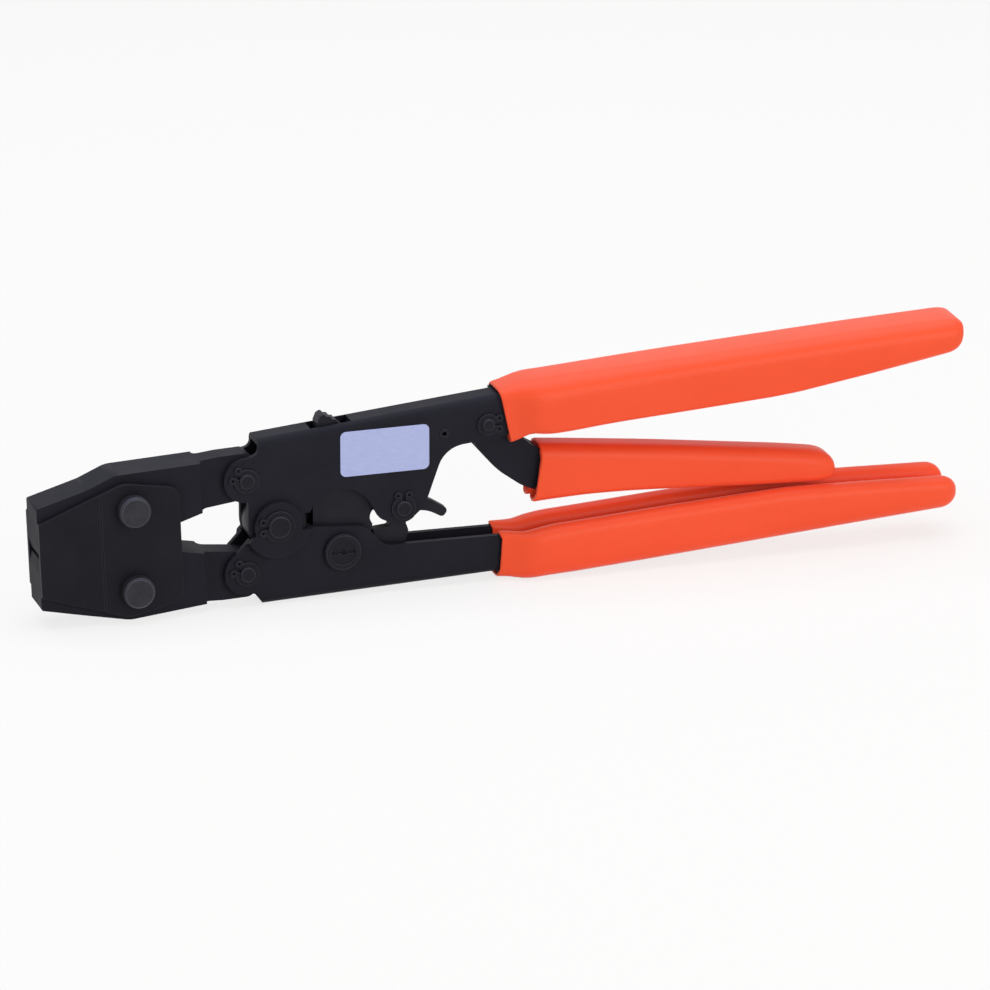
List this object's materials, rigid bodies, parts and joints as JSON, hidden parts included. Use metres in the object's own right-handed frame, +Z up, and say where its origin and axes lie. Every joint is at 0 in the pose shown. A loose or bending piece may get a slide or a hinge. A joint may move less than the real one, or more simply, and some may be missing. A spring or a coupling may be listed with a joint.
{
  "type": "cinch clamp tool",
  "caption": "Long-handled ratchet pincer for pipe clamps: black jaw head between riveted plates, channel handles with soft grips, squeeze lever and release finger.",
  "frame": {"origin": "centre of the bounding box, on the level of its lowest point, with the handles closed", "axes": "+X from the jaw noses towards the handle ends, +Y across the tool to the far side, +Z up"},
  "size_m": [0.3256, 0.0262, 0.0773],
  "materials": {
    "phosphate_steel": "satin",
    "dark_pin_steel": "satin",
    "rivet_steel": "turned",
    "ratchet_steel": "satin",
    "spring_steel": "bright",
    "orange_vinyl": "soft sheen",
    "label_foil": "satin"
  },
  "bodies": {
    "upper_frame": {"upper_frame": "phosphate_steel", "upper_grip": "orange_vinyl", "blank_label": "label_foil", "main_pivot_pin": "dark_pin_steel", "main_circlip": "dark_pin_steel", "upper_tail_pin": "dark_pin_steel", "upper_tail_circlip": "dark_pin_steel", "pawl_pin": "dark_pin_steel", "pawl_circlip": "dark_pin_steel", "lever_pin": "dark_pin_steel", "lever_circlip": "dark_pin_steel", "spring_anchor_pin": "dark_pin_steel", "lever_return_spring": "spring_steel", "pawl_spring": "spring_steel", "drive_leaf_spring": "spring_steel"},
    "lower_handle": {"lower_handle": "phosphate_steel", "lower_grip": "orange_vinyl", "ratchet_sector": "ratchet_steel", "lower_tail_pin": "dark_pin_steel", "lower_tail_circlip": "dark_pin_steel"},
    "upper_jaw": {"upper_jaw": "phosphate_steel"},
    "jaw_head": {"jaw_plate_near": "phosphate_steel", "jaw_plate_far": "phosphate_steel", "upper_jaw_rivet": "rivet_steel", "lower_jaw_rivet": "rivet_steel"},
    "lower_jaw": {"lower_jaw": "phosphate_steel"},
    "squeeze_lever": {"squeeze_lever": "phosphate_steel", "lever_grip": "orange_vinyl", "crank_pin": "dark_pin_steel", "lug_pin": "dark_pin_steel"},
    "drive_pawl": {"drive_pawl": "ratchet_steel"},
    "holding_pawl": {"holding_pawl": "ratchet_steel"},
    "adjuster": {"adjuster_screw": "dark_pin_steel", "adjuster_clip": "dark_pin_steel"}
  },
  "joints": [
    {"name": "main_hinge", "type": "hinge", "parent": "upper_frame", "child": "lower_handle", "pos_m": [-0.07996, 0, 0.0281], "axis": [0, 1, 0], "range_deg": [0, 36]},
    {"name": "upper_jaw_hinge", "type": "hinge", "parent": "upper_frame", "child": "upper_jaw", "pos_m": [-0.09058, 0, 0.04445], "axis": [0, 1, 0], "range_deg": [0, 22.6]},
    {"name": "jaw_head_hinge", "type": "hinge", "parent": "upper_jaw", "child": "jaw_head", "pos_m": [-0.13045, 0, 0.03954], "axis": [0, 1, 0], "range_deg": [-5.86, 0]},
    {"name": "lower_jaw_hinge", "type": "hinge", "parent": "jaw_head", "child": "lower_jaw", "pos_m": [-0.12947, 0, 0.01126], "axis": [0, 1, 0], "range_deg": [-5.86, 0]},
    {"name": "squeeze_lever_hinge", "type": "hinge", "parent": "upper_frame", "child": "squeeze_lever", "pos_m": [-0.00636, 0, 0.05593], "axis": [0, -1, 0], "range_deg": [0, 10], "stiffness_Nm_per_rad": 0.5, "springref_deg": -22.92, "deforming": ["lever_return_spring", "drive_leaf_spring"]},
    {"name": "drive_pawl_hinge", "type": "hinge", "parent": "squeeze_lever", "child": "drive_pawl", "pos_m": [-0.00797, 0, 0.06035], "axis": [0, -1, 0], "range_deg": [-11.1, 0]},
    {"name": "holding_pawl_hinge", "type": "hinge", "parent": "upper_frame", "child": "holding_pawl", "pos_m": [-0.03606, 0, 0.0294], "axis": [0, -1, 0], "range_deg": [0, 10], "stiffness_Nm_per_rad": 0.05, "springref_deg": -22.92, "deforming": ["pawl_spring"]},
    {"name": "adjuster_turn", "type": "hinge", "parent": "lower_handle", "child": "adjuster", "pos_m": [-0.05756, 0, 0.0164], "axis": [0, 1, 0], "range_deg": [-90, 90]}
  ],
  "couplings": [
    {"joint": "upper_jaw_hinge", "follows": "main_hinge", "ratio": 0.625},
    {"joint": "jaw_head_hinge", "follows": "main_hinge", "ratio": -0.15995},
    {"joint": "lower_jaw_hinge", "follows": "main_hinge", "ratio": -0.15995},
    {"joint": "drive_pawl_hinge", "follows": "squeeze_lever_hinge", "ratio": -1.09}
  ]
}
